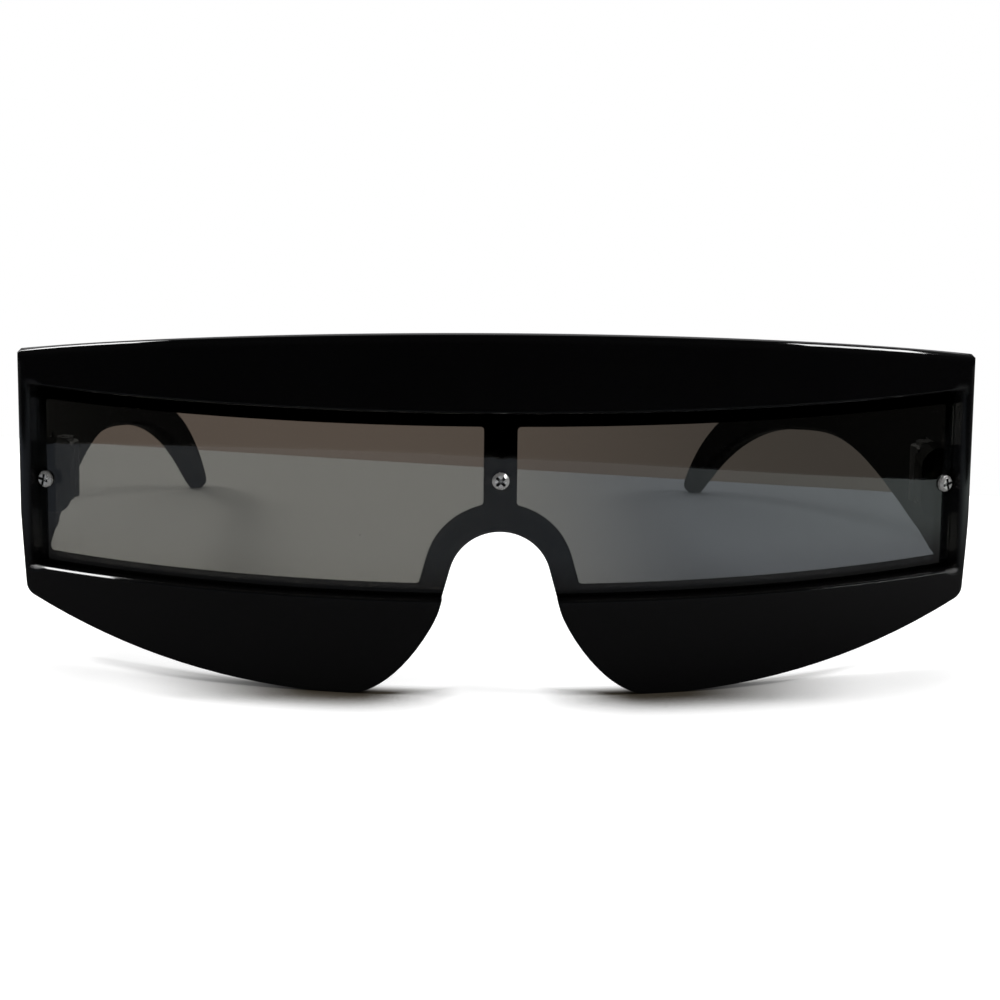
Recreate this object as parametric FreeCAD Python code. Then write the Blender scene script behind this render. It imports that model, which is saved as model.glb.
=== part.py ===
import FreeCAD, Part
import math
import os

Vector = FreeCAD.Vector

# Shield sunglasses, millimetres and degrees. The wearer looks along -Y, +Z is up and the table is z = 0.
# Y is measured from the foremost point of the front while building, X from its middle.
# Right and left are the wearer's: the right temple is at -X.

# Front moulding
FRONT_WIDTH = 150.0
BASE_RADIUS = 132.5
BROW_HEIGHT = 56.15
TOP_FALL = 16.15
FRONT_WALL = 3.0
SIDE_WALL = 4.0
SIDE_LEAN = 0.9
SIDE_KNEE = 24.0
CORNER_HEIGHT = 10.7
CORNER_RADIUS = 2.0
CHEEK_SPACING = 46.0
END_PIECE_LENGTH = 6.7
SIDE_EDGE_RADIUS = 1.6
TOP_EDGE_BEVEL = 0.6
LEDGE_EDGE_BEVEL = 0.3

# Stepped recess and the rim behind the lens
BROW_BAND = 12.35
LOWER_LEDGE = 15.0
RECESS_DEPTH = 2.5
RECESS_BORDER = 1.8
TRAY_WALL = 2.2
RIM_THICKNESS = 2.4
RIM_TOP = 2.65
RIM_BOTTOM = 1.15
RIM_END = 1.8
WINDOW_CORNER = 0.6
CENTRE_BAR = 5.0

# Nose arch and the moulded nose rests
ARCH_RADIUS = 7.8
ARCH_HEIGHT = 25.2
NOSE_FLARE = 15.4
FLARE_FOOT = 13.5
FLARE_EASE = 0.16
CHEEK_EASE = 0.35
ARCH_BAND = 3.7
REST_LENGTH = 15.0
REST_DEPTH = 9.0
REST_THICKNESS = 3.4
REST_HEIGHT = 11.0
REST_SPLAY = 28.0

# Lens
LENS_THICKNESS = 1.8
LENS_CLEARANCE = 0.15
LENS_PLAY = 0.1

# Lens screws and the bosses that they bite into; the bridge screw's share is of the way from arch to brow
BOSS_HEIGHT = 28.6
BOSS_TALL = 11.0
BOSS_REACH = 3.8
BOSS_CORNER = 2.8
BRIDGE_SCREW_SHARE = 0.427
BRIDGE_BOSS_DIAMETER = 4.6
BRIDGE_BOSS_DEPTH = 1.6
END_SCREW_INSET = 1.45
HEAD_DIAMETER = 2.6
HEAD_HEIGHT = 0.9
HEAD_CROWN = 1.8
HEAD_EDGE = 0.45
CROSS_WIDTH = 0.45
CROSS_LENGTH = 1.8
CROSS_DEPTH = 0.5
SHANK_DIAMETER = 1.4
SHANK_BITE = 2.6
SHANK_CLEARANCE = 0.25

# Temples
TEMPLE_THICKNESS = 3.2
TEMPLE_INSET = 0.2
TEMPLE_EDGE_BEVEL = 0.7
BUTT_GAP = 0.25
TEMPLE_FALL = 15.0
TEMPLE_FOOT = 11.8
FOOT_SLOPE = 20.0
BEND_LENGTH = 95.0
BEND_RADIUS = 40.0
TIP_RADIUS = 1.6
TIP_SLOPE = 40.0
BOW_RADIUS = 430.0
# Underside between foot and tip: share of the way back, and share of the top line's height there
UNDERSIDE = (
    (0.157, 0.398),
    (0.327, 0.582),
    (0.485, 0.734),
    (0.615, 0.774),
    (0.744, 0.768),
    (0.870, 0.600),
    (0.944, 0.340),
)

# Hinges
BARREL_DIAMETER = 4.2
BARREL_STAND = 1.2
BARREL_GAP = 0.2
KNUCKLE = 2.9
KNUCKLE_GAP = 0.1
PIN_DIAMETER = 1.4
PIN_CLEARANCE = 0.05
PIN_HEAD_DIAMETER = 2.6
PIN_HEAD_HEIGHT = 0.7
SLOT_WIDTH = 0.4
SLOT_DEPTH = 0.35
LEAF_THICKNESS = 1.0
LEAF_LENGTH = 10.0
LEAF_MARGIN = 0.6
SEAT_CLEARANCE = 0.04

# How far the left temple is folded in as the part lies on the table
LEFT_REST_FOLD = 7.0

# Worked out from the sizes above
HALF_WIDTH = FRONT_WIDTH / 2
BROW_LEDGE = BROW_HEIGHT - BROW_BAND
BUTT_DEPTH = BASE_RADIUS - math.sqrt(BASE_RADIUS**2 - HALF_WIDTH**2) + END_PIECE_LENGTH
LENS_RADIUS = BASE_RADIUS - RECESS_DEPTH
SEAT_RADIUS = LENS_RADIUS - LENS_THICKNESS - LENS_PLAY
RIM_RADIUS = SEAT_RADIUS - RIM_THICKNESS
END_ANGLE = math.degrees(math.asin(HALF_WIDTH / BASE_RADIUS))
RECESS_ANGLE = END_ANGLE - math.degrees(RECESS_BORDER / BASE_RADIUS)
LENS_ANGLE = RECESS_ANGLE - math.degrees(LENS_CLEARANCE / LENS_RADIUS)
SCREW_ANGLE = LENS_ANGLE - math.degrees(END_SCREW_INSET / LENS_RADIUS)
WINDOW_END = LENS_RADIUS * math.sin(math.radians(RECESS_ANGLE)) - RIM_END
ARCH_CENTRE = ARCH_HEIGHT - ARCH_RADIUS
BRIDGE_SCREW_HEIGHT = ARCH_HEIGHT + BRIDGE_SCREW_SHARE * (BROW_LEDGE - ARCH_HEIGHT)
TEMPLE_INNER = HALF_WIDTH - TEMPLE_INSET - TEMPLE_THICKNESS
TEMPLE_START = BUTT_DEPTH + BUTT_GAP
BARREL_RADIUS = BARREL_DIAMETER / 2
HINGE_X = TEMPLE_INNER - BARREL_STAND - BARREL_RADIUS
HINGE_Y = BUTT_DEPTH + BARREL_GAP + BARREL_RADIUS
HINGE_TALL = 3 * KNUCKLE + 2 * KNUCKLE_GAP
HINGE_FOOT = BOSS_HEIGHT - HINGE_TALL / 2
TOP_SLOPE = math.tan(math.radians(TOP_FALL))
REACH = 4 * FRONT_WIDTH


def top_line(depth):
    return BROW_HEIGHT - TOP_SLOPE * depth


def on_front(radius, angle, height):
    turn = math.radians(angle)
    return Vector(radius * math.sin(turn), BASE_RADIUS - radius * math.cos(turn), height)


def path(start, *steps):
    # A step is a point for a line, a pair of points for an arc, or three for a curve with two handles.
    edges = []
    here = start
    for step in steps:
        if isinstance(step, Vector):
            curve = Part.LineSegment(here, step)
            here = step
        elif len(step) == 2:
            curve = Part.Arc(here, *step)
            here = step[1]
        else:
            curve = Part.BezierCurve()
            curve.setPoles([here, *step])
            here = step[2]
        edges.append(curve.toShape())
    return edges


def prism(edges, direction):
    wire = Part.Wire(Part.__sortEdges__(edges))
    return Part.Face(wire).extrude(direction)


def box(low, high):
    size = high - low
    return Part.makeBox(size.x, size.y, size.z, low)


def mirrored(shape):
    return shape.mirror(Vector(0, 0, 0), Vector(1, 0, 0))


def cylinder_block(radius, low, high):
    return Part.makeCylinder(radius, high - low, Vector(0, BASE_RADIUS, low), Vector(0, 0, 1))


def sector(inner, outer, low, high, half_angle):
    foot = Vector(0, BASE_RADIUS, low)
    ring = Part.makeCylinder(outer, high - low, foot, Vector(0, 0, 1), 2 * half_angle)
    ring.rotate(Vector(0, BASE_RADIUS, 0), Vector(0, 0, 1), -90 - half_angle)
    return ring.cut(cylinder_block(inner, low - 1, high + 1))


def flare_point(band, height):
    # The side of the nose gap, moved outwards by a band, at one height.
    flare = math.radians(NOSE_FLARE)
    touch = ARCH_CENTRE + (ARCH_RADIUS + band) * math.sin(flare)
    across = (ARCH_RADIUS + band) * math.cos(flare)
    return Vector(across + (touch - height) * math.tan(flare), 0, height)


def arch_touch(band):
    flare = math.radians(NOSE_FLARE)
    return flare_point(band, ARCH_CENTRE + (ARCH_RADIUS + band) * math.sin(flare))


def front_outline():
    # Sides, lower edge, cheeks and nose gap seen from the front, open at the top until the brow is cut.
    flare = math.radians(NOSE_FLARE)
    foot = flare_point(0, FLARE_FOOT)
    cheek = Vector(CHEEK_SPACING / 2, 0, 0)
    reach = (cheek - foot).Length
    corner = Vector(HALF_WIDTH - SIDE_LEAN, 0, CORNER_HEIGHT)
    span = corner - cheek
    sweep = 2 * math.atan2(span.z, span.x)
    bend = span.x / math.sin(sweep)
    middle = cheek + Vector(bend * math.sin(sweep / 2), 0, bend * (1 - math.cos(sweep / 2)))
    above = Vector(HALF_WIDTH, 0, BROW_HEIGHT + FRONT_WALL)
    half = path(
        arch_touch(0),
        foot,
        (
            foot + Vector(math.sin(flare), 0, -math.cos(flare)) * FLARE_EASE * reach,
            cheek - Vector(CHEEK_EASE * reach, 0, 0),
            cheek,
        ),
        (middle, corner),
        Vector(HALF_WIDTH, 0, SIDE_KNEE),
        above,
    )
    touch = arch_touch(0)
    arch = path(Vector(-touch.x, 0, touch.z), (Vector(0, 0, ARCH_HEIGHT), touch))
    top = path(above, Vector(-above.x, 0, above.z))
    loop = half + [mirrored(edge) for edge in half] + arch + top
    block = prism(loop, Vector(0, BUTT_DEPTH + FRONT_WALL, 0))
    block.translate(Vector(0, -FRONT_WALL, 0))
    corners = [
        edge
        for edge in block.Edges
        if edge.BoundBox.YLength > BUTT_DEPTH / 2
        and abs(edge.CenterOfMass.z - CORNER_HEIGHT) < 0.01
        and abs(abs(edge.CenterOfMass.x) - corner.x) < 0.01
    ]
    return block.makeFillet(CORNER_RADIUS, corners)


def front_plan():
    # The front seen from above: the base curve, rolled over at each end into a straight side.
    reach = BASE_RADIUS - SIDE_EDGE_RADIUS
    across = HALF_WIDTH - SIDE_EDGE_RADIUS
    turn = math.asin(across / reach)
    half_turn = (turn + math.pi / 2) / 2
    touch = on_front(BASE_RADIUS, math.degrees(turn), 0)
    centre = on_front(reach, math.degrees(turn), 0)
    middle = centre + Vector(math.sin(half_turn), -math.cos(half_turn), 0) * SIDE_EDGE_RADIUS
    butt = Vector(HALF_WIDTH, BUTT_DEPTH, 0)
    half = path(touch, (middle, Vector(HALF_WIDTH, centre.y, 0)), butt)
    curve = path(Vector(-touch.x, touch.y, 0), (Vector(0, 0, 0), touch))
    back = path(butt, Vector(-butt.x, butt.y, 0))
    block = prism(half + [mirrored(edge) for edge in half] + curve + back, Vector(0, 0, 2 * BROW_HEIGHT))
    block.translate(Vector(0, 0, -FRONT_WALL))
    return block


def above_top_line():
    # Everything over the plane that falls from the brow to the butt joints.
    edges = path(
        Vector(-REACH, -REACH, top_line(-REACH)),
        Vector(-REACH, REACH, top_line(REACH)),
        Vector(-REACH, REACH, REACH),
        Vector(-REACH, -REACH, REACH),
        Vector(-REACH, -REACH, top_line(-REACH)),
    )
    return prism(edges, Vector(2 * REACH, 0, 0))


def window():
    band = ARCH_BAND
    outer = ARCH_RADIUS + band
    low = LOWER_LEDGE + RIM_BOTTOM
    high = BROW_LEDGE - RIM_TOP
    side = CENTRE_BAR / 2
    meet = Vector(side, 0, ARCH_CENTRE + math.sqrt(outer**2 - side**2))
    touch = arch_touch(band)
    turn = (math.atan2(meet.z - ARCH_CENTRE, meet.x) + math.radians(NOSE_FLARE)) / 2
    middle = Vector(outer * math.cos(turn), 0, ARCH_CENTRE + outer * math.sin(turn))
    edges = path(
        Vector(side, 0, high),
        Vector(WINDOW_END, 0, high),
        Vector(WINDOW_END, 0, low),
        flare_point(band, low),
        touch,
        (middle, meet),
        Vector(side, 0, high),
    )
    hole = prism(edges, Vector(0, BUTT_DEPTH, 0))
    sharp = [
        edge
        for edge in hole.Edges
        if edge.BoundBox.YLength > BUTT_DEPTH / 2 and abs(edge.CenterOfMass.z - touch.z) > 0.01
    ]
    return hole.makeFillet(WINDOW_CORNER, sharp)


def end_boss():
    inner = WINDOW_END - BOSS_REACH
    low = BOSS_HEIGHT - BOSS_TALL / 2
    tab = box(Vector(inner, 0, low), Vector(HALF_WIDTH - SIDE_WALL, BUTT_DEPTH, low + BOSS_TALL))
    lengthwise = [edge for edge in tab.Edges if edge.BoundBox.YLength > BUTT_DEPTH / 2]
    rounded = [edge for edge in lengthwise if edge.CenterOfMass.x < inner + 0.01]
    return tab.makeFillet(BOSS_CORNER, rounded).common(cylinder_block(SEAT_RADIUS, 0, BROW_HEIGHT))


def nose_rest():
    # A pebble-shaped pad that follows the side of the nose gap and is rooted in the cheek and the rim.
    pad = Part.makeSphere(0.5)
    stretch = FreeCAD.Matrix()
    stretch.scale(Vector(REST_THICKNESS, REST_DEPTH, REST_LENGTH))
    pad = pad.transformGeometry(stretch)
    pad.rotate(Vector(0, 0, 0), Vector(0, 0, 1), -REST_SPLAY)
    pad.rotate(Vector(0, 0, 0), Vector(0, 1, 0), -NOSE_FLARE)
    edge = flare_point(REST_THICKNESS / 2, REST_HEIGHT)
    pad.translate(Vector(edge.x, FRONT_WALL + REST_DEPTH / 4, REST_HEIGHT))
    step = LOWER_LEDGE - TRAY_WALL / 2
    behind = cylinder_block(BASE_RADIUS - FRONT_WALL / 2, -1, step)
    behind = behind.fuse(cylinder_block(RIM_RADIUS + RIM_THICKNESS / 2, step, BROW_LEDGE))
    return pad.common(behind).common(front_outline())


def pilot_hole(angle, height):
    start = on_front(SEAT_RADIUS, angle, height)
    inward = on_front(0, angle, height) - start
    return Part.makeCylinder(SHANK_DIAMETER / 2, SHANK_BITE, start, inward)


def screw_places():
    return {
        "right": (-SCREW_ANGLE, BOSS_HEIGHT),
        "bridge": (0.0, BRIDGE_SCREW_HEIGHT),
        "left": (SCREW_ANGLE, BOSS_HEIGHT),
    }


def frame_leaf_plate(clearance):
    margin = Vector(clearance, clearance, clearance)
    low = Vector(HINGE_X - BARREL_RADIUS + LEAF_MARGIN, BUTT_DEPTH - LEAF_THICKNESS, HINGE_FOOT)
    high = Vector(HALF_WIDTH - 2 * LEAF_MARGIN, BUTT_DEPTH, HINGE_FOOT + HINGE_TALL)
    return box(low - margin, high + margin)


def temple_leaf_plate(clearance):
    margin = Vector(clearance, clearance, clearance)
    low = Vector(TEMPLE_INNER, HINGE_Y, HINGE_FOOT + LEAF_MARGIN)
    size = Vector(LEAF_THICKNESS, LEAF_LENGTH, HINGE_TALL - 2 * LEAF_MARGIN)
    return box(low - margin, low + size + margin)


def temple_leaf_pocket():
    # The bowed inner face stands slightly proud of the flat leaf, so the pocket is open past it.
    plate = temple_leaf_plate(SEAT_CLEARANCE)
    return plate.fuse(plate.translated(Vector(-LEAF_THICKNESS, 0, 0)))


def front_face(shape):
    faces = [
        face
        for face in shape.Faces
        if isinstance(face.Surface, Part.Cylinder) and abs(face.Surface.Radius - BASE_RADIUS) < 0.001
    ]
    return max(faces, key=lambda face: face.Area)


def on_top_line(edge):
    return all(abs(corner.Z - top_line(corner.Y)) < 0.001 for corner in edge.Vertexes)


def front_block():
    # The front as a full block, with the edge of its brow bevelled.
    block = front_outline().common(front_plan()).cut(above_top_line()).Solids[0]
    brow = [edge for edge in block.Edges if on_top_line(edge) and edge.BoundBox.YMax < BUTT_DEPTH - 0.01]
    return block.makeChamfer(TOP_EDGE_BEVEL, brow)


def recessed_plate():
    # A wide curved slab with the lens recess sunk into it and the recess's edges bevelled.
    plate = sector(BASE_RADIUS / 2, BASE_RADIUS, -FRONT_WALL, 2 * BROW_HEIGHT, END_ANGLE + 20)
    plate = plate.cut(sector(SEAT_RADIUS, BASE_RADIUS + 1, LOWER_LEDGE, BROW_LEDGE, RECESS_ANGLE)).Solids[0]
    mouth = [
        edge
        for edge in front_face(plate).Edges
        if all(LOWER_LEDGE - 0.01 < corner.Z < BROW_LEDGE + 0.01 for corner in edge.Vertexes)
    ]
    return plate.makeChamfer(LEDGE_EDGE_BEVEL, mouth)


def hollow_behind():
    # What is taken out behind the brow, the tray and the cheeks, between the side walls.
    reach = HALF_WIDTH - SIDE_WALL
    between = box(Vector(-reach, -1, -1), Vector(reach, BUTT_DEPTH + 1, BROW_HEIGHT + 1))
    tray_low = LOWER_LEDGE - TRAY_WALL
    tray_high = BROW_LEDGE + TRAY_WALL
    wall_radius = BASE_RADIUS - FRONT_WALL
    behind_cheeks = cylinder_block(wall_radius, -1, tray_low)
    behind_brow = cylinder_block(wall_radius, tray_high, BROW_HEIGHT + 1)
    hollow = cylinder_block(RIM_RADIUS, -1, BROW_HEIGHT + 1).fuse([behind_cheeks, behind_brow])
    return hollow.common(between)


def frame_front():
    body = front_block().common(recessed_plate()).cut(hollow_behind())
    hole = window()
    body = body.cut([hole, mirrored(hole)])
    boss = end_boss()
    rest = nose_rest()
    bridge = on_front(RIM_RADIUS + RIM_THICKNESS / 2, 0, BRIDGE_SCREW_HEIGHT)
    bridge_boss = Part.makeCylinder(
        BRIDGE_BOSS_DIAMETER / 2, BRIDGE_BOSS_DEPTH + RIM_THICKNESS / 2, bridge, Vector(0, 1, 0)
    )
    body = body.fuse([boss, mirrored(boss), rest, mirrored(rest), bridge_boss])
    pocket = frame_leaf_plate(SEAT_CLEARANCE)
    holes = [pilot_hole(*place) for place in screw_places().values()]
    return body.cut(holes + [pocket, mirrored(pocket)])


def shield_lens():
    low = LOWER_LEDGE + LENS_CLEARANCE
    high = BROW_LEDGE - LENS_CLEARANCE
    lens = sector(LENS_RADIUS - LENS_THICKNESS, LENS_RADIUS, low, high, LENS_ANGLE).common(front_outline())
    hole_radius = SHANK_DIAMETER / 2 + SHANK_CLEARANCE
    holes = []
    for angle, height in screw_places().values():
        start = on_front(SEAT_RADIUS - 1, angle, height)
        outward = on_front(SEAT_RADIUS, angle, height) - start
        holes.append(Part.makeCylinder(hole_radius, LENS_THICKNESS + 2, start, outward))
    return lens.cut(holes)


def lens_screw(angle, height):
    # Turned about Z with its head's seat at z = 0, then set square on the lens.
    head = HEAD_DIAMETER / 2
    shank = SHANK_DIAMETER / 2 - SEAT_CLEARANCE
    length = LENS_THICKNESS + LENS_PLAY + SHANK_BITE - SEAT_CLEARANCE
    profile = path(
        Vector(0, 0, HEAD_HEIGHT),
        Vector(HEAD_CROWN / 2, 0, HEAD_HEIGHT),
        Vector(head, 0, HEAD_EDGE),
        Vector(head, 0, 0),
        Vector(shank, 0, 0),
        Vector(shank, 0, shank - length),
        Vector(0, 0, -length),
        Vector(0, 0, HEAD_HEIGHT),
    )
    screw = Part.Face(Part.Wire(profile)).revolve(Vector(0, 0, 0), Vector(0, 0, 1), 360)
    bar = box(
        Vector(-CROSS_LENGTH / 2, -CROSS_WIDTH / 2, HEAD_HEIGHT - CROSS_DEPTH),
        Vector(CROSS_LENGTH / 2, CROSS_WIDTH / 2, HEAD_HEIGHT + 1),
    )
    across = bar.rotated(Vector(0, 0, 0), Vector(0, 0, 1), 90)
    screw = screw.cut(bar.fuse(across).rotated(Vector(0, 0, 0), Vector(0, 0, 1), 45))
    seat = on_front(LENS_RADIUS, angle, height)
    outward = seat - on_front(0, angle, height)
    screw.Placement = FreeCAD.Placement(seat, FreeCAD.Rotation(Vector(0, 0, 1), outward))
    return screw


def temple_side():
    # The temple seen from the side, from the butt joint to the hooked tip.
    def point(back, height):
        return Vector(0, TEMPLE_START + back, height)

    def top(back):
        return top_line(TEMPLE_START) - back * math.tan(math.radians(TEMPLE_FALL))

    def below_top(back, share):
        return point(back, share * top(back))

    def around(centre, radius, angle):
        turn = math.radians(angle)
        return centre + Vector(0, radius * math.cos(turn), radius * math.sin(turn))

    bend = point(BEND_LENGTH, top(BEND_LENGTH))
    start = 90 - TEMPLE_FALL
    centre = around(bend, BEND_RADIUS, start + 180)
    finish = math.degrees(math.asin((TIP_RADIUS - centre.z) / (BEND_RADIUS - TIP_RADIUS)))
    tip = around(centre, BEND_RADIUS - TIP_RADIUS, finish)
    under = -90 - TIP_SLOPE
    foot = point(0, TEMPLE_FOOT)
    last = around(tip, TIP_RADIUS, under)
    length = last.y - foot.y
    curve = Part.BSplineCurve()
    curve.interpolate(
        Points=[foot, *(below_top(along * length, share) for along, share in UNDERSIDE), last],
        InitialTangent=around(Vector(0, 0, 0), 1, FOOT_SLOPE),
        FinalTangent=around(Vector(0, 0, 0), 1, -TIP_SLOPE),
    )
    edges = path(
        foot,
        point(0, top(0)),
        bend,
        (around(centre, BEND_RADIUS, (start + finish) / 2), around(centre, BEND_RADIUS, finish)),
        (around(tip, TIP_RADIUS, (finish + under) / 2), last),
    )
    return prism(edges + [curve.toShape()], Vector(2 * HALF_WIDTH, 0, 0))


def temple_plan():
    # The temple seen from above: it leaves the hinge straight back and bows in towards the head.
    centre = Vector(TEMPLE_INNER - BOW_RADIUS, TEMPLE_START, -1)
    tall = BROW_HEIGHT + 2
    ring = Part.makeCylinder(BOW_RADIUS + TEMPLE_THICKNESS, tall, centre)
    ring = ring.cut(Part.makeCylinder(BOW_RADIUS, tall, centre))
    near = centre + Vector(BOW_RADIUS / 2, -TEMPLE_THICKNESS, 0)
    far = centre + Vector(2 * BOW_RADIUS, BOW_RADIUS, tall)
    return ring.common(box(near, far))


def temple():
    arm = temple_side().common(temple_plan()).Solids[0]
    faces = [face for face in arm.Faces if isinstance(face.Surface, Part.Cylinder)]
    walls = [face for face in faces if abs(face.Surface.Axis.z) > 0.5]
    rims = [edge for wall in walls for edge in wall.Edges if edge.BoundBox.YLength > 0.01]
    arm = arm.makeChamfer(TEMPLE_EDGE_BEVEL, rims)
    return arm.cut(temple_leaf_pocket())


def knuckle(index):
    low = HINGE_FOOT + index * (KNUCKLE + KNUCKLE_GAP)
    return Part.makeCylinder(BARREL_RADIUS, KNUCKLE, Vector(HINGE_X, HINGE_Y, low)), low


def pin_bore():
    return Part.makeCylinder(PIN_DIAMETER / 2 + PIN_CLEARANCE, REACH, Vector(HINGE_X, HINGE_Y, -REACH / 2))


def frame_hinge():
    leaf = frame_leaf_plate(0)
    for index in (0, 2):
        barrel, low = knuckle(index)
        web = box(
            Vector(HINGE_X - BARREL_RADIUS + LEAF_MARGIN, BUTT_DEPTH - LEAF_THICKNESS, low),
            Vector(HINGE_X, HINGE_Y, low + KNUCKLE),
        )
        leaf = leaf.fuse([barrel, web])
    return leaf.cut(pin_bore()).removeSplitter()


def temple_hinge():
    barrel, low = knuckle(1)
    web = box(
        Vector(HINGE_X, HINGE_Y, low),
        Vector(TEMPLE_INNER + LEAF_THICKNESS, HINGE_Y + BARREL_RADIUS, low + KNUCKLE),
    )
    return temple_leaf_plate(0).fuse([barrel, web]).cut(pin_bore()).removeSplitter()


def hinge_screw():
    top = HINGE_FOOT + HINGE_TALL
    axis = Vector(HINGE_X, HINGE_Y, HINGE_FOOT)
    shank = Part.makeCylinder(PIN_DIAMETER / 2, HINGE_TALL, axis)
    head = Part.makeCylinder(PIN_HEAD_DIAMETER / 2, PIN_HEAD_HEIGHT, Vector(HINGE_X, HINGE_Y, top))
    slot = box(
        Vector(HINGE_X - PIN_HEAD_DIAMETER, HINGE_Y - SLOT_WIDTH / 2, top + PIN_HEAD_HEIGHT - SLOT_DEPTH),
        Vector(HINGE_X + PIN_HEAD_DIAMETER, HINGE_Y + SLOT_WIDTH / 2, top + PIN_HEAD_HEIGHT + 1),
    )
    return shank.fuse(head).cut(slot).removeSplitter()


def assemble():
    pieces = {"frame_front": frame_front(), "shield_lens": shield_lens()}
    for side, place in screw_places().items():
        pieces[f"lens_screw_{side}"] = lens_screw(*place)
    makers = {
        "temple": temple,
        "temple_hinge": temple_hinge,
        "frame_hinge": frame_hinge,
        "hinge_screw": hinge_screw,
    }
    for name, make in makers.items():
        pieces[f"left_{name}"] = make()
        pieces[f"right_{name}"] = mirrored(make())
    for name in ("left_temple", "left_temple_hinge"):
        pieces[name].rotate(Vector(HINGE_X, HINGE_Y, 0), Vector(0, 0, 1), LEFT_REST_FOLD)
    return pieces


def main():
    os.makedirs("parts", exist_ok=True)
    pieces = assemble()
    whole = Part.makeCompound(list(pieces.values())).optimalBoundingBox(False, False)
    origin = Vector(whole.Center.x, whole.Center.y, whole.ZMin)
    for name, shape in pieces.items():
        shape.translate(origin * -1)
        shape.exportStep(f"parts/{name}.step")
        print(name, len(shape.Solids), shape.isValid(), round(shape.Volume, 2))
    print("overall", whole.XLength, whole.YLength, whole.ZLength)
    print("left hinge axis", Vector(HINGE_X, HINGE_Y, HINGE_FOOT) - origin)


if __name__ == "__main__":
    main()
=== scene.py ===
import math

import bpy
from mathutils import Matrix, Vector

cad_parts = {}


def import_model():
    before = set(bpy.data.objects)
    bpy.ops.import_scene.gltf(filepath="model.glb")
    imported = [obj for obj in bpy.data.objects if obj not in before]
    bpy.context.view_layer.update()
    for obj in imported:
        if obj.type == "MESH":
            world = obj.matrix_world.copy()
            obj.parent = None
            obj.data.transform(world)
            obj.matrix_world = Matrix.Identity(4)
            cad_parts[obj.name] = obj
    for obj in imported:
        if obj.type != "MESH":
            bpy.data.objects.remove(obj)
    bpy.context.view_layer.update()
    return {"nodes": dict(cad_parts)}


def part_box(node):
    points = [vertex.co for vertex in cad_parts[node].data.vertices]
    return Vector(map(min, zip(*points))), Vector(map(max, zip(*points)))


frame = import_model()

# Shield sunglasses on a white sheet, under a soft box behind and between two strip lamps.
# Metres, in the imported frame: +X is the wearer's left, the wearer looks along -Y and +Z is up.
# Places of the camera, lamps and sheet are measured from the table under the foremost point of the front.

nodes = frame["nodes"]

# The front: the table under its foremost point, the radius of its curve, and the height and fall of its top
APEX = Vector((0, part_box("frame_front")[0].y, 0))
BASE_RADIUS = 0.1325
TOP_HEIGHT = 0.05615
TOP_FALL = math.radians(16.15)

# Reach of the softened edges: along the top of the front, at its two ends, elsewhere on it, on the temples.
# The ends start and are full at these distances from the middle.
TOP_EDGE = 0.002
END_EDGE = 0.0016
OTHER_EDGE = 0.00022
TEMPLE_EDGE = 0.0005
ENDS_START = 0.0705
ENDS_FULL = 0.0725
EDGE_SAMPLES = 6

# Camera: sensor and focal length in millimetres, roll in degrees
CAMERA_PLACE = Vector((-0.01238, -0.44865, 0.13069))
CAMERA_LOOK = Vector((0.0266, 0.9757, -0.2174))
CAMERA_ROLL = 0.624
FOCAL_LENGTH = 110.3
SENSOR_WIDTH = 36
CLIP_NEAR = 0.01
CLIP_FAR = 20

# Lamps: a soft box mirrored in the top edge, and strips mirrored as white lines at its two ends
LAMP_AIM = Vector((0, 0.05, 0.02))
SOFT_BOX = Vector((0, 0.32, 0.50))
SOFT_BOX_WIDTH = 1.0
SOFT_BOX_DEPTH = 0.64
SOFT_BOX_RADIANCE = 1.3
LEFT_STRIP = (Vector((-0.485, 0.177, 0.381)), Vector((-0.399, 0.018, 0.480)))
RIGHT_STRIP = (Vector((0.410, -0.141, 0.437)), Vector((0.519, 0.020, 0.362)))
STRIP_WIDTH = 0.12
STRIP_RADIANCE = 20

# Room: a warm wall seen through the lens, lit on the left and with painted shade to the right, grey levels
# that gloss mirrors, and the fill that shade gets.
# A spread gives the two values of a direction between which one part of the room turns into the next.
WALL_LIT_LEFT = (0.70, 0.57, 0.51, 1)
WALL_SHADED_RIGHT = (0.36, 0.32, 0.30, 1)
WALL_SPREAD = (-0.03, 0.14)
MIRRORED_BEHIND = 0.08
MIRRORED_ABOVE_FRONT = 0.02
MIRRORED_ABOVE_BEHIND = 0.12
ABOVE_SPREAD = (-0.02, 0.30)
BEHIND_SPREAD = (-0.05, 0.30)
FILL = 0.3

# White sheet: a disc with a straight cut behind, as the lens mirrors it. Angles in degrees.
SHEET_CENTRE = Vector((-0.017, 0.055, 0))
SHEET_RADIUS = 0.2305
SHEET_FROM = -225
SHEET_TO = 15
SHEET_STEP = 2
PAPER = 0.95
PAPER_LIFT = 0.4

# Painted shade on the sheet in front of the contact, in its colour and in its lift to white. It fades where
# more of the sky is open, behind the curve of the front, under its raised ends and under the nose arch, and
# is left alone farther behind, at the temple tips.
PAINTED_CONTACT_SHADE = (0.07, 0.06, 0.045, 1)
CONTACT_REACH = 0.017
CONTACT_SAMPLES = 16
OPEN_SKY = (0.62, 0.95)
BEHIND_CURVE = (-0.006, -0.001)
FAR_BEHIND = (-0.06, -0.04)
RAISED_ENDS = (0.028, 0.060)
RAISED_ENDS_FADE = 0.9
NOSE_ARCH = (0.005, 0.014)

# The sheet through the lens, with painted shade to the right
THROUGH_LEFT = 0.90
THROUGH_SHADED_RIGHT = (0.52, 0.57, 0.68, 1)
THROUGH_SPREAD = (-0.01, 0.045)

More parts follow.
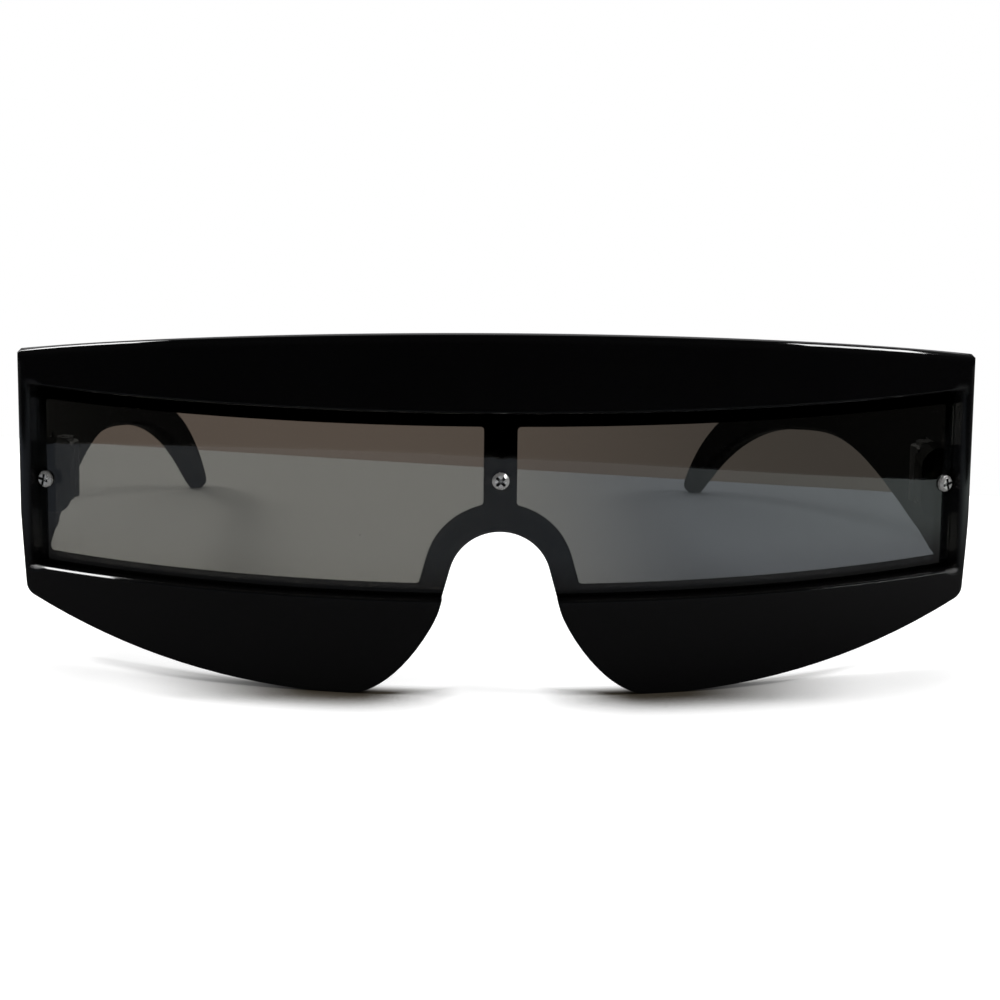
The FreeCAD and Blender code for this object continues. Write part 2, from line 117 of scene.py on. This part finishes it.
# The sheet in gloss, as a painted reflection: dimmer than the paper, dimmer to the left, and with painted
# shade close to the front
REFLECTED_FAR_LEFT = (0.17, 0.19, 0.22, 1)
REFLECTED_FAR_RIGHT = (0.44, 0.50, 0.48, 1)
REFLECTED_SHADE_LEFT = 0.06
REFLECTED_SHADE_RIGHT = 0.14
GLOSS_SPREAD = (0.02, 0.20)
FAR_SPREAD = (0.05, 0.09)

# Materials: base colours, how squarely a lens face looks away from the axis, and how dark the painted shade
# in metal corners is
PLASTIC_CLEAN = (0.0016, 0.0016, 0.0018, 1)
PLASTIC_SMUDGED = (0.0028, 0.0028, 0.0030, 1)
PLASTIC_DUST = 0.10
LENS_CLEAN = (0.133, 0.130, 0.116, 1)
LENS_SMUDGED = (0.141, 0.138, 0.124, 1)
LENS_SAWN_EDGE = 0.004
LENS_FACING = 0.8
LENS_DUST = 0.12
SCREW_STEEL = (0.95, 0.94, 0.92)
HINGE_STEEL = (0.50, 0.50, 0.51)
PAINTED_CORNER_SHADE = 0.04
POLYCARBONATE_IOR = 1.586


class Graph:
    """A node tree that is built one call per node. A socket takes a value, or another node's output."""

    def __init__(self, owner):
        owner.use_nodes = True
        self.tree = owner.node_tree
        self.tree.nodes.clear()

    def fill(self, sockets, values):
        for socket, value in zip(sockets, values):
            if isinstance(value, bpy.types.NodeSocket):
                self.tree.links.new(value, socket)
            else:
                socket.default_value = value

    def add(self, kind, inputs=None, **settings):
        made = self.tree.nodes.new("ShaderNode" + kind)
        for name, value in settings.items():
            setattr(made, name, value)
        named = inputs or {}
        self.fill([made.inputs[name] for name in named], named.values())
        return made

    def math(self, operation, *values):
        made = self.add("Math", operation=operation)
        self.fill(made.inputs, values)
        return made.outputs[0]

    def vector(self, operation, *values):
        made = self.add("VectorMath", operation=operation)
        self.fill(made.inputs, values)
        return made.outputs["Value" if operation in ("LENGTH", "DOT_PRODUCT") else "Vector"]

    def parts(self, place):
        return self.add("SeparateXYZ", {0: place}).outputs

    def blend(self, factor, first, second):
        # A Mix node keeps its colours in inputs 6 and 7 and output 2.
        made = self.add("Mix", data_type="RGBA")
        self.fill([made.inputs[0], made.inputs[6], made.inputs[7]], (factor, first, second))
        return made.outputs[2]

    def turn(self, factor, first, second):
        # A Mix node keeps its vectors in inputs 4 and 5 and output 1.
        made = self.add("Mix", data_type="VECTOR")
        self.fill([made.inputs[0], made.inputs[4], made.inputs[5]], (factor, first, second))
        return made.outputs[1]

    def ramp(self, value, low, high, to_low=0.0, to_high=1.0, kind="SMOOTHSTEP"):
        made = self.add("MapRange", interpolation_type=kind)
        self.fill(made.inputs, (value, low, high, to_low, to_high))
        return made.outputs[0]

    def noise(self, place, scale, detail=2.0):
        return self.add("TexNoise", {"Vector": place, "Scale": scale, "Detail": detail}).outputs[0]

    def from_axis(self, place):
        # The way from the axis of the curved front to a place, level with it.
        centre = APEX + Vector((0, BASE_RADIUS, 0))
        return self.vector("MULTIPLY", self.vector("SUBTRACT", place, centre), (1, 1, 0))


def grey(level):
    return (level, level, level, 1)


def new_material(name):
    made = bpy.data.materials.new(name)
    return made, Graph(made)


def put(name, data, place, axes):
    # An object at a place from the apex, with its own X, Y and Z along the given axes.
    made = bpy.data.objects.new(name, data)
    made.matrix_world = Matrix.Translation(APEX + place) @ Matrix(axes).transposed().to_4x4()
    bpy.context.scene.collection.objects.link(made)
    return made


def camera():
    data = bpy.data.cameras.new("camera")
    data.sensor_width = SENSOR_WIDTH
    data.lens = FOCAL_LENGTH
    data.clip_start = CLIP_NEAR
    data.clip_end = CLIP_FAR
    look = CAMERA_LOOK.normalized()
    level = look.cross(Vector((0, 0, 1))).normalized()
    roll = math.radians(CAMERA_ROLL)
    right = level * math.cos(roll) + level.cross(look) * math.sin(roll)
    bpy.context.scene.camera = put("camera", data, CAMERA_PLACE, (right, right.cross(look), -look))


def lamp(name, shape, place, along, width, radiance):
    # The lamp faces the sunglasses, and is as long as the given direction.
    data = bpy.data.lights.new(name, "AREA")
    data.shape = shape
    data.size = along.length
    data.size_y = width
    area = along.length * width * (math.pi / 4 if shape == "ELLIPSE" else 1)
    data.energy = radiance * math.pi * area
    away = (place - LAMP_AIM).normalized()
    across = away.cross(along).normalized()
    put(name, data, place, (across.cross(away), across, away)).visible_camera = False


def lamps():
    along = Vector((SOFT_BOX_WIDTH, 0, 0))
    lamp("soft_box", "ELLIPSE", SOFT_BOX, along, SOFT_BOX_DEPTH, SOFT_BOX_RADIANCE)
    for name, (start, end) in (("left_strip", LEFT_STRIP), ("right_strip", RIGHT_STRIP)):
        lamp(name, "RECTANGLE", (start + end) / 2, end - start, STRIP_WIDTH, STRIP_RADIANCE)


def world():
    # White to the camera. Gloss meets a dark room, the lens shows a warm wall behind, darker to the right
    # as painted shade, and shade gets a fill.
    made = bpy.data.worlds.new("studio")
    bpy.context.scene.world = made
    made.cycles.sampling_method = "NONE"
    graph = Graph(made)
    path = graph.add("LightPath").outputs
    direction = graph.parts(graph.add("TexCoord").outputs["Generated"])
    above = graph.ramp(direction["Z"], *ABOVE_SPREAD)
    behind = graph.ramp(direction["Y"], *BEHIND_SPREAD)
    # Painted shade: the wall turns from its lit colour to a darker one towards the right.
    wall = graph.blend(graph.ramp(direction["X"], *WALL_SPREAD), WALL_LIT_LEFT, WALL_SHADED_RIGHT)
    back = graph.blend(path["Is Transmission Ray"], grey(MIRRORED_BEHIND), wall)
    low = graph.blend(behind, grey(0.0), back)
    high = graph.blend(behind, grey(MIRRORED_ABOVE_FRONT), grey(MIRRORED_ABOVE_BEHIND))
    room = graph.blend(above, low, high)
    room = graph.blend(path["Is Diffuse Ray"], room, grey(FILL))
    colour = graph.blend(path["Is Camera Ray"], room, grey(1.0))
    glow = graph.add("Background", {"Color": colour, "Strength": 1.0})
    graph.add("OutputWorld", {"Surface": glow.outputs[0]})


def open_paper(graph, beyond, x):
    # How free of the painted contact shade the sheet is, from 0 to 1, at a distance beyond the curve of the
    # front.
    sky = graph.add("AmbientOcclusion", {"Distance": CONTACT_REACH}, samples=CONTACT_SAMPLES).outputs["AO"]
    aside = graph.math("ABSOLUTE", x)
    behind = graph.ramp(beyond, *BEHIND_CURVE, 1.0, 0.0)
    ends = graph.ramp(aside, *RAISED_ENDS, 0.0, RAISED_ENDS_FADE)
    arch = graph.ramp(aside, *NOSE_ARCH, 1.0, 0.0)
    faded = graph.math("MAXIMUM", behind, graph.math("MAXIMUM", ends, arch))
    faded = graph.math("MULTIPLY", graph.ramp(beyond, *FAR_BEHIND), faded)
    return graph.math("MAXIMUM", faded, graph.ramp(sky, *OPEN_SKY))


def sheet_material():
    # White paper, lifted to white for the camera, that keeps its shadows and has a painted contact shade;
    # its colours for gloss and for the lens are a painted reflection and a painted shade.
    made, graph = new_material("white_sheet")
    path = graph.add("LightPath").outputs
    place = graph.add("NewGeometry").outputs["Position"]
    x = graph.parts(place)["X"]
    beyond = graph.math("SUBTRACT", graph.vector("LENGTH", graph.from_axis(place)), BASE_RADIUS)
    clear = open_paper(graph, beyond, x)
    # Painted shade: the paper turns to the dark contact colour where it is less clear.
    contact_shaded_paper = graph.blend(clear, PAINTED_CONTACT_SHADE, grey(PAPER))
    # Painted shade: through the lens the sheet turns darker and bluer to the right.
    through = graph.blend(graph.ramp(x, *THROUGH_SPREAD), grey(THROUGH_LEFT), THROUGH_SHADED_RIGHT)
    # Painted reflection: gloss sees the sheet dimmer, darker to the left and in painted shade near the
    # front.
    rightward = graph.ramp(x, *GLOSS_SPREAD)
    far = graph.blend(rightward, REFLECTED_FAR_LEFT, REFLECTED_FAR_RIGHT)
    close = graph.blend(rightward, grey(REFLECTED_SHADE_LEFT), grey(REFLECTED_SHADE_RIGHT))
    mirrored = graph.blend(graph.ramp(beyond, *FAR_SPREAD), close, far)
    colour = graph.blend(path["Is Glossy Ray"], contact_shaded_paper, mirrored)
    colour = graph.blend(path["Is Transmission Ray"], colour, through)
    paper = graph.add("BsdfDiffuse", {"Color": colour})
    # The lift to white fades with the same painted shade.
    lift = graph.math("MULTIPLY", path["Is Camera Ray"], graph.math("MULTIPLY", clear, PAPER_LIFT))
    glow = graph.add("Emission", {"Strength": lift})
    both = graph.add("AddShader", {0: paper.outputs[0], 1: glow.outputs[0]})
    graph.add("OutputMaterial", {"Surface": both.outputs[0]})
    return made


def sheet():
    turns = [math.radians(angle) for angle in range(SHEET_FROM, SHEET_TO + 1, SHEET_STEP)]
    centre = APEX + SHEET_CENTRE
    rim = [centre + SHEET_RADIUS * Vector((math.cos(turn), math.sin(turn), 0)) for turn in turns]
    mesh = bpy.data.meshes.new("white_sheet")
    mesh.from_pydata(rim, [], [range(len(rim))])
    made = bpy.data.objects.new("white_sheet", mesh)
    made.data.materials.append(sheet_material())
    bpy.context.scene.collection.objects.link(made)


def dust(graph, place, spacing, size):
    # A mask of sparse specks: one in each cell, most of them too small to show.
    cells = graph.add("TexVoronoi", {"Vector": place, "Scale": 1 / spacing})
    chance = graph.add("SeparateColor", {0: cells.outputs["Color"]}).outputs[0]
    reach = graph.ramp(chance, 0.6, 1.0, 0.0, size / spacing)
    return graph.math("LESS_THAN", cells.outputs["Distance"], reach)


def front_edges(graph, place):
    # Shading normal with softened edges. Near the top edge it turns evenly from the front to the top.
    split = graph.parts(place)
    aside = graph.math("ABSOLUTE", split["X"])
    radius = graph.ramp(aside, ENDS_START, ENDS_FULL, OTHER_EDGE, END_EDGE)
    others = graph.add("Bevel", {"Radius": radius}, samples=EDGE_SAMPLES).outputs[0]
    way = graph.from_axis(place)
    front = graph.vector("NORMALIZE", way)
    top = (0, math.sin(TOP_FALL), math.cos(TOP_FALL))
    inward = graph.math("SUBTRACT", BASE_RADIUS, graph.vector("LENGTH", way))
    fall = graph.math("MULTIPLY", graph.math("SUBTRACT", split["Y"], APEX.y), math.tan(TOP_FALL))
    below = graph.math("SUBTRACT", graph.math("SUBTRACT", TOP_HEIGHT, fall), split["Z"])
    across = graph.ramp(graph.math("SUBTRACT", inward, below), -TOP_EDGE, TOP_EDGE, kind="LINEAR")
    rounded = graph.vector("NORMALIZE", graph.turn(across, front, top))
    apart = graph.math("MAXIMUM", graph.math("ABSOLUTE", inward), graph.math("ABSOLUTE", below))
    return graph.turn(graph.math("LESS_THAN", apart, TOP_EDGE), others, rounded)


def temple_edges(graph, place):
    # The same at every place, unlike on the front.
    return graph.add("Bevel", {"Radius": TEMPLE_EDGE}, samples=EDGE_SAMPLES).outputs[0]


def black_plastic(name, gloss, shift, soft_edges):
    # Polished moulding: slow ripples, faint smudges, soft edges and a few specks of dust.
    made, graph = new_material(name)
    place = graph.add("TexCoord").outputs["Object"]
    edges = soft_edges(graph, place)
    place = graph.vector("ADD", place, (shift, 0, 0))
    specks = dust(graph, place, spacing=0.006, size=0.00012)
    smudge = graph.noise(place, scale=40.0, detail=3.0)
    colour = graph.blend(smudge, PLASTIC_CLEAN, PLASTIC_SMUDGED)
    ripple = graph.noise(place, scale=70.0)
    bump = graph.add("Bump", {"Strength": 0.05, "Distance": 0.0004, "Height": ripple, "Normal": edges})
    shader = graph.add(
        "BsdfPrincipled",
        {
            "Base Color": graph.blend(specks, colour, grey(PLASTIC_DUST)),
            "Roughness": graph.ramp(smudge, 0.35, 0.75, gloss, gloss + 0.05),
            "Normal": bump.outputs[0],
        },
    )
    graph.add("OutputMaterial", {"Surface": shader.outputs[0]})
    return made


def smoke_lens():
    # Smoke tint through the two curved faces; the sawn edges round the sheet are black.
    made, graph = new_material("smoke_lens")
    where = graph.add("TexCoord").outputs
    axis = graph.vector("NORMALIZE", graph.from_axis(where["Object"]))
    facing = graph.vector("DOT_PRODUCT", axis, where["Normal"])
    face = graph.math("GREATER_THAN", graph.math("ABSOLUTE", facing), LENS_FACING)
    specks = dust(graph, where["Object"], spacing=0.007, size=0.00010)
    smudge = graph.noise(where["Object"], scale=30.0, detail=3.0)
    tint = graph.blend(smudge, LENS_CLEAN, LENS_SMUDGED)
    colour = graph.blend(face, grey(LENS_SAWN_EDGE), tint)
    shader = graph.add(
        "BsdfPrincipled",
        {
            "Base Color": graph.blend(specks, colour, grey(LENS_DUST)),
            "Roughness": graph.ramp(smudge, 0.5, 0.8, 0.0, 0.02),
            "IOR": POLYCARBONATE_IOR,
            "Transmission Weight": graph.math("MULTIPLY", face, graph.math("SUBTRACT", 1.0, specks)),
        },
    )
    graph.add("OutputMaterial", {"Surface": shader.outputs[0]})
    return made


def metal(name, colour, gloss, marks_per_metre, dent, polish):
    # Plated metal: fine tool marks, drawn out along the axis that has the fewest, and painted shade in the
    # corners.
    made, graph = new_material(name)
    place = graph.add("TexCoord").outputs["Object"]
    marks = graph.noise(graph.vector("MULTIPLY", place, marks_per_metre), scale=1.0)
    corner = graph.add("AmbientOcclusion", {"Distance": 0.0007}, only_local=True, samples=8)
    # Painted shade: the base colour darkens where the corners are occluded.
    corner_shade = graph.ramp(corner.outputs["AO"], 0.45, 0.85, 1.0, 0.0)
    dark = [PAINTED_CORNER_SHADE * channel for channel in colour]
    shader = graph.add(
        "BsdfPrincipled",
        {
            "Base Color": graph.blend(corner_shade, (*colour, 1), (*dark, 1)),
            "Metallic": polish,
            "Roughness": graph.ramp(marks, 0.3, 0.7, gloss, gloss + 0.12),
            "Normal": graph.add("Bump", {"Strength": 0.5, "Distance": dent, "Height": marks}).outputs[0],
        },
    )
    graph.add("OutputMaterial", {"Surface": shader.outputs[0]})
    return made


def dress(names, made):
    for name in names:
        slots = nodes[name].data.materials
        slots.clear()
        slots.append(made)


def dress_all():
    sides = ("right", "left")
    temples = [f"{side}_temple" for side in sides]
    hinge_pieces = ("frame_hinge", "temple_hinge", "hinge_screw")
    hinges = [f"{side}_{piece}" for side in sides for piece in hinge_pieces]
    screws = [f"lens_screw_{place}" for place in ("right", "bridge", "left")]
    dress(["frame_front"], black_plastic("front_plastic", gloss=0.05, shift=0.0, soft_edges=front_edges))
    dress(temples, black_plastic("temple_plastic", gloss=0.09, shift=0.4, soft_edges=temple_edges))
    dress(["shield_lens"], smoke_lens())
    bright = metal(
        "lens_screw_steel",
        SCREW_STEEL,
        gloss=0.16,
        marks_per_metre=(3000, 3000, 3000),
        dent=0.00015,
        polish=0.7,
    )
    dress(screws, bright)
    satin = metal(
        "hinge_steel",
        HINGE_STEEL,
        gloss=0.3,
        marks_per_metre=(4000, 4000, 400),
        dent=0.00001,
        polish=1.0,
    )
    dress(hinges, satin)


camera()
world()
lamps()
sheet()
dress_all()

bpy.context.scene.view_settings.view_transform = "Standard"
